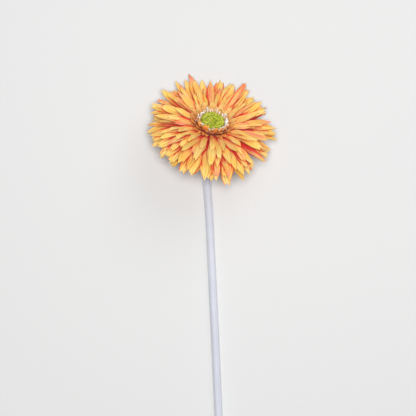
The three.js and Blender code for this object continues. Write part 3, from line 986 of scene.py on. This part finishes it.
STALK_STEPS = np.linspace(0, 1, 7)[:, None]
CURL_STEPS = np.linspace(0, 1, 12)[1:, None]
STRAND_SIDES = 8
FORK_GAP = 0.25


def fork_line(out, side, lean, tall, beside, fork, look):
    """One half of a forked strand: its middle line from foot to curled tip, and which way it curls."""
    bow = 0.7 + 0.5 * beside + look.spread(0.4)
    turn = math.radians(170 + look.spread(80))
    swing = math.radians(look.spread(75))
    away = fork * math.cos(swing) * side + math.sin(swing) * out
    top = (STIGMA_RADIUS + lean) * out + (STIGMA_FOOT + tall - bow) * UP
    outwards = (STIGMA_RADIUS + lean * STALK_STEPS**1.5) * out
    stalk = outwards + (STIGMA_FOOT + (tall - bow) * STALK_STEPS) * UP + away * FORK_GAP * STALK_STEPS
    angle = turn * CURL_STEPS
    curl = top + away * (FORK_GAP + bow * (1 - np.cos(angle))) + UP * bow * np.sin(angle)
    return np.concatenate([stalk, curl]), away


class GERBERA_OT_stigmas(bpy.types.Operator):
    """Build the ring of white strands round the disc, each forked and curled at its top"""

    bl_idname = "gerbera.stigmas"
    bl_label = "Stigmas"

    def execute(self, context):
        shape, colours = context.scene.gerbera_shape, context.scene.gerbera_colours
        draw, look = Draw(STIGMA_SEED), Draw(STIGMA_SEED + 1)
        piece = Piece()
        points, faces = turned(STIGMA_RING, RING_SIDES)
        piece.add(on_head(points), faces[:-2])
        share = np.linspace(0, 1, len(STALK_STEPS) + len(CURL_STEPS))
        taper = (1 - 0.3 * share) * np.sqrt(np.clip(1.02 - share**14, 0, 1))
        for azimuth in around(draw, {"count": STIGMA_COUNT, "first": 0}, 0.3):
            out, side = spoke(azimuth)
            beside = abs(math.cos(azimuth))
            clump = max(0.0, math.cos(azimuth - 0.1))
            lean = 1.5 + draw.spread(0.5) + look.spread(0.6)
            tall = 6.6 + draw.spread(1.2) + look.spread(0.8) - 1.2 * max(0.0, -math.sin(azimuth))
            draw.spread(0.2)  # the solid strand's width, which the finished one has no use for
            girth = shape.strand_width / METRES / 2 * (0.8 + 0.4 * beside + 0.45 * clump + look.spread(0.3))
            for fork in (-1, 1):
                centres, away = fork_line(out, side, lean, tall, beside, fork, look)
                points, faces = tube(centres, girth * taper, STRAND_SIDES, np.cross(away, UP))
                piece.add(on_head(points), faces, along=np.repeat(share, STRAND_SIDES), tone=look())
        piece.build("white_stigmas", stigma_material(colours), "stigmas")
        return {"FINISHED"}


DISC_SEED = 29
DOME_SIDES = 72
DOME_STEPS = np.linspace(1, 0.02, 26)  # shares of the way from the middle to the edge
BEAD_SIDES = 8
BEAD_RINGS = np.array([(0.5, 0.0), (0.5, 0.45), (0.36, 0.8), (0.16, 1.0)])  # half width, and height
BEAD_SUNK = 0.15
DISC_REACH = 1.04  # how far the florets go, past 1 where they turn down over the edge
EDGE_FALL = 24  # how fast they go down there, in millimetres for a whole reach
SLOPE_STEP = 0.01


def disc_profile(share):
    """The dome's radius and height at shares of the way from its middle to its edge."""
    dimple = 0.7 * np.exp(-((share / 0.22) ** 2))
    dome = (DISC_TOP - DISC_EDGE_HEIGHT) * np.clip(np.cos(share * math.pi / 2), 0, 1) ** 0.7
    return DISC_RADIUS * np.sin(share * math.pi / 2), DISC_EDGE_HEIGHT + dome - dimple


def bead_share(reach):
    """The share of the way to the edge at which florets stand evenly over the dome."""
    inside = min(reach, 1)
    return 0.75 * math.asin(inside) / (math.pi / 2) + 0.25 * inside + max(0, reach - 1)


class GERBERA_OT_disc(bpy.types.Operator):
    """Build the green cushion with its unopened florets in crossing spirals"""

    bl_idname = "gerbera.disc"
    bl_label = "Disc"

    def execute(self, context):
        shape, colours = context.scene.gerbera_shape, context.scene.gerbera_colours
        look = Draw(DISC_SEED)
        piece = Piece()
        dome = zip(*disc_profile(DOME_STEPS))
        points, faces = turned([(DISC_FOOT, SEAT), (9.3, 2.4), *dome], DOME_SIDES)
        # the dome between the beads keeps the dark colour, as painted shade
        piece.add(on_head(points), faces, tone=0.7)
        angles = ring_angles(BEAD_SIDES)[:, None]
        faces_over = ring_faces(len(BEAD_RINGS), BEAD_SIDES)
        for bead in range(shape.bead_count):
            share = bead_share(math.sqrt((bead + 0.6) / shape.bead_count) * DISC_REACH)
            radius, height = disc_profile(np.minimum([share, share + SLOPE_STEP], 1))
            down = np.array([radius[1] - radius[0], height[1] - height[0]])
            down = down / np.linalg.norm(down) if share < 1 - SLOPE_STEP else np.array([0.0, -1.0])
            out, level = spoke(bead * GOLDEN_ANGLE)
            down = down[0] * out + down[1] * UP
            normal = np.cross(down, level)
            size = shape.bead_size / METRES * (0.95 + 0.1 * share + look.spread(0.15))
            tall = 0.75 * size * (1 + look.spread(0.5))
            foot = out * radius[0] + (height[0] - max(0, share - 1) * EDGE_FALL) * UP - BEAD_SUNK * normal
            circle = np.cos(angles) * down + np.sin(angles) * level
            points = [foot + size * half * circle + tall * rise * normal for half, rise in BEAD_RINGS]
            # along rises from a bead's foot to its top; the material paints the foot dark as shade
            along = np.repeat(BEAD_RINGS[:, 1], BEAD_SIDES)
            piece.add(on_head(np.concatenate(points)), faces_over, along=along, tone=look())
        piece.build("green_disc", disc_material(colours), "disc")
        return {"FINISHED"}


class GERBERA_OT_calyx(bpy.types.Operator):
    """Build the green cup under the petals with its bracts"""

    bl_idname = "gerbera.calyx"
    bl_label = "Calyx"

    def execute(self, context):
        colours = context.scene.gerbera_colours
        draw, look = Draw(CALYX_SEED), Draw(CALYX_SEED + 1)
        piece = Piece()
        points, faces = turned(CUP, RING_SIDES)
        piece.add(on_head(points), faces, along=0.2)
        for row in BRACT_ROWS:
            for blade in row_blades(draw, row, 0.08, 0, 2, 0.03, 6):
                blade["root_radius"] -= BRACT_SUNK
                blade["length"] += BRACT_SUNK
                relief = dict(
                    thickness=0.6,
                    crease=0.12,
                    wave=0.2,
                    ripples=1.0,
                    phase=look() * 2 * math.pi,
                    curl=look.spread(0.7),
                    cup=0.3,
                    point=0.65,
                )
                add_blade(piece, blade, BRACT_GRID, relief, look())
        piece.build("calyx_bracts", calyx_material(colours), "calyx")
        return {"FINISHED"}


NECK_STEPS = 70
FLAT_STEPS = 90
NECK_PULL = 0.42  # how far the neck's curve is pulled along the head and the stem, as a share of its length
SKIN_SIDES = 40
RIBS = 9
RIB_DEPTH = 0.008
CUT_RINGS = (1.0, 0.9, 0.5, 0.15)  # the cut end's rings, as shares of the stem's width
CUT_DIMPLE = (0.15, 0.35, 0.5)  # how far all but the first of them are sunk, in millimetres
CUT_UNDER = (0.3, 1, 1, 1)  # how much each of them shows the pith


def bezier(corners, t):
    """Points of a Bezier curve with three or four corners."""
    corners = [np.asarray(corner, float) for corner in corners]
    order = len(corners) - 1
    return sum(
        math.comb(order, k) * (1 - t)[:, None] ** (order - k) * t[:, None] ** k * corner
        for k, corner in enumerate(corners)
    )


def stem_line():
    """The stem's middle line from the calyx to the cut end, with the share of the neck still to come."""
    top = on_head(np.array([0.0, 0.0, CALYX_BASE - SEAT]))
    landing = np.array([top[0] + STEM_SHIFT, top[1] - NECK_LENGTH, STEM_REST])
    cut = landing + [STEM_BEND, -FLAT_LENGTH, 0]
    pull = NECK_LENGTH * NECK_PULL
    along = np.array([STEM_SLOPE, -1, 0]) / math.hypot(STEM_SLOPE, 1)
    walked = np.linspace(0, 1, NECK_STEPS)
    neck = bezier([top, top - HEAD_AXIS * pull, landing - along * pull, landing], walked)
    flat = bezier([landing, landing + along * FLAT_LENGTH / 2, cut], np.linspace(0, 1, FLAT_STEPS))
    return np.concatenate([neck, flat[1:]]), np.concatenate([1 - walked, np.zeros(len(flat) - 1)])


class GERBERA_OT_stem(bpy.types.Operator):
    """Build the smooth bare stem with its cut end"""

    bl_idname = "gerbera.stem"
    bl_label = "Stem"

    def execute(self, context):
        colours = context.scene.gerbera_colours
        piece = Piece()
        centres, to_come = stem_line()
        angles = ring_angles(SKIN_SIDES)
        ribs = 1 - RIB_DEPTH * (1 - np.cos(RIBS * angles))[None, :]
        girth = STEM_REST * (1 + (NECK_SHARE - 1) * to_come**3)[:, None] * ribs
        points, faces = tube(centres, girth, SKIN_SIDES, UP)
        walked = np.concatenate([[0], np.cumsum(np.linalg.norm(np.diff(centres, axis=0), axis=1))])
        along = np.repeat(walked / walked[-1], SKIN_SIDES)
        piece.add(points, faces[:-1], along=along, across=np.tile(np.cos(angles), len(centres)))
        rim = points[-SKIN_SIDES:]
        middle = rim.mean(0)
        rings = np.concatenate([middle + (rim - middle) * share for share in CUT_RINGS])
        rings[SKIN_SIDES:, 1] += np.repeat(CUT_DIMPLE, SKIN_SIDES)
        *walls, _, pit = ring_faces(len(CUT_RINGS), SKIN_SIDES)
        sharp = np.arange(len(rings)) < SKIN_SIDES
        piece.add(rings, [*walls, pit], rim=sharp, along=1.0, under=np.repeat(CUT_UNDER, SKIN_SIDES))
        weld(piece.build("bare_stem", stem_material(colours), "stem"))
        return {"FINISHED"}


def weld(piece):
    """Joins vertices that lie in one place."""
    work = bmesh.new()
    work.from_mesh(piece.data)
    bmesh.ops.remove_doubles(work, verts=work.verts, dist=1e-7)
    work.to_mesh(piece.data)
    work.free()


# ---- The stage, in metres ----

FLOOR_HALF = 2.0
FLOOR_SQUARES = 8
KEY_LIGHT = dict(offset=(0.02, -0.03), height=1.65, size=0.4)
FILL_LIGHT = dict(offset=(0.6, 0.9), height=1.2, size=1.2)
SKY_COLOUR = (0.95, 0.97, 1.0, 1.0)
CAMERA_PLACE = (-0.0039, 0.0843)
SENSOR_WIDTH = 36


def soft_light(name, offset, height, size, power):
    """A round soft light that stands off the head by an offset over the table, and faces it."""
    head = HEAD_PLACE * METRES
    place = np.array([head[0] + offset[0], head[1] + offset[1], height])
    ahead = head - place
    light = bpy.data.lights.new(name, "AREA")
    light.shape = "DISK"
    light.size = size
    light.energy = power
    lamp = add_object(name, light)
    lamp.location = place
    tilt = math.acos(-ahead[2] / np.linalg.norm(ahead))
    lamp.rotation_euler = (tilt, 0, math.atan2(ahead[1], ahead[0]) - math.pi / 2)


def table_top(material):
    steps = np.linspace(-FLOOR_HALF, FLOOR_HALF, FLOOR_SQUARES + 1)
    corners = [(x, y, 0.0) for y in steps for x in steps]
    ids = np.arange(len(corners)).reshape(len(steps), -1)
    mesh = bpy.data.meshes.new("table_top")
    mesh.from_pydata(corners, [], grid_faces(ids.T).tolist())
    mesh.materials.append(material)
    floor = add_object("table_top", mesh)
    floor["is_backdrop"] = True


class GERBERA_OT_stage(bpy.types.Operator):
    """Set the table top, the soft light and the camera that looks down on the flower"""

    bl_idname = "gerbera.stage"
    bl_label = "Stage"

    def execute(self, context):
        scene, stage = context.scene, context.scene.gerbera_stage
        table_top(floor_material(scene.gerbera_colours))
        soft_light("key_light", **KEY_LIGHT, power=stage.key_power)
        soft_light("fill_light", **FILL_LIGHT, power=stage.fill_power)
        world = bpy.data.worlds.new("Studio")
        world.use_nodes = True
        background = world.node_tree.nodes["Background"]
        background.inputs["Color"].default_value = SKY_COLOUR
        background.inputs["Strength"].default_value = stage.surround
        scene.world = world
        scene.view_settings.view_transform = "Standard"

        lens = bpy.data.cameras.new("camera")
        lens.sensor_width = SENSOR_WIDTH
        lens.lens = SENSOR_WIDTH * stage.camera_distance / stage.picture_width
        camera = add_object("camera", lens)
        camera.location = (*CAMERA_PLACE, HEAD_PLACE[2] * METRES + stage.camera_distance)
        scene.camera = camera
        return {"FINISHED"}


class GERBERA_PT_panel(bpy.types.Panel):
    """The flower's pieces, sizes and colours"""

    bl_idname = "GERBERA_PT_panel"
    bl_label = "Gerbera Daisy"
    bl_space_type = "VIEW_3D"
    bl_region_type = "UI"
    bl_category = "Gerbera"

    def draw(self, context):
        for operator in OPERATORS:
            self.layout.operator(operator.bl_idname)
        scene = context.scene
        for group in (scene.gerbera_shape, scene.gerbera_colours, scene.gerbera_stage):
            box = self.layout.box()
            for name in group.__annotations__:
                box.prop(group, name)


OPERATORS = (
    GERBERA_OT_petals,
    GERBERA_OT_collar,
    GERBERA_OT_stigmas,
    GERBERA_OT_disc,
    GERBERA_OT_calyx,
    GERBERA_OT_stem,
    GERBERA_OT_stage,
)
CLASSES = (GerberaShape, GerberaColours, GerberaStage, *OPERATORS, GERBERA_PT_panel)


def register():
    for cls in CLASSES:
        bpy.utils.register_class(cls)
    bpy.types.Scene.gerbera_shape = PointerProperty(type=GerberaShape)
    bpy.types.Scene.gerbera_colours = PointerProperty(type=GerberaColours)
    bpy.types.Scene.gerbera_stage = PointerProperty(type=GerberaStage)


def unregister():
    del bpy.types.Scene.gerbera_stage
    del bpy.types.Scene.gerbera_colours
    del bpy.types.Scene.gerbera_shape
    for cls in reversed(CLASSES):
        bpy.utils.unregister_class(cls)


def main():
    register()
    bpy.ops.gerbera.petals()
    bpy.ops.gerbera.collar()
    bpy.ops.gerbera.stigmas()
    bpy.ops.gerbera.disc()
    bpy.ops.gerbera.calyx()
    bpy.ops.gerbera.stem()
    bpy.ops.gerbera.stage()
    boxes = {"cad": CAD_BOX, "visual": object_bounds()}
    {name: [[float(x) for x in corner] for corner in box] for name, box in boxes.items()}


if __name__ == "__main__":
    main()
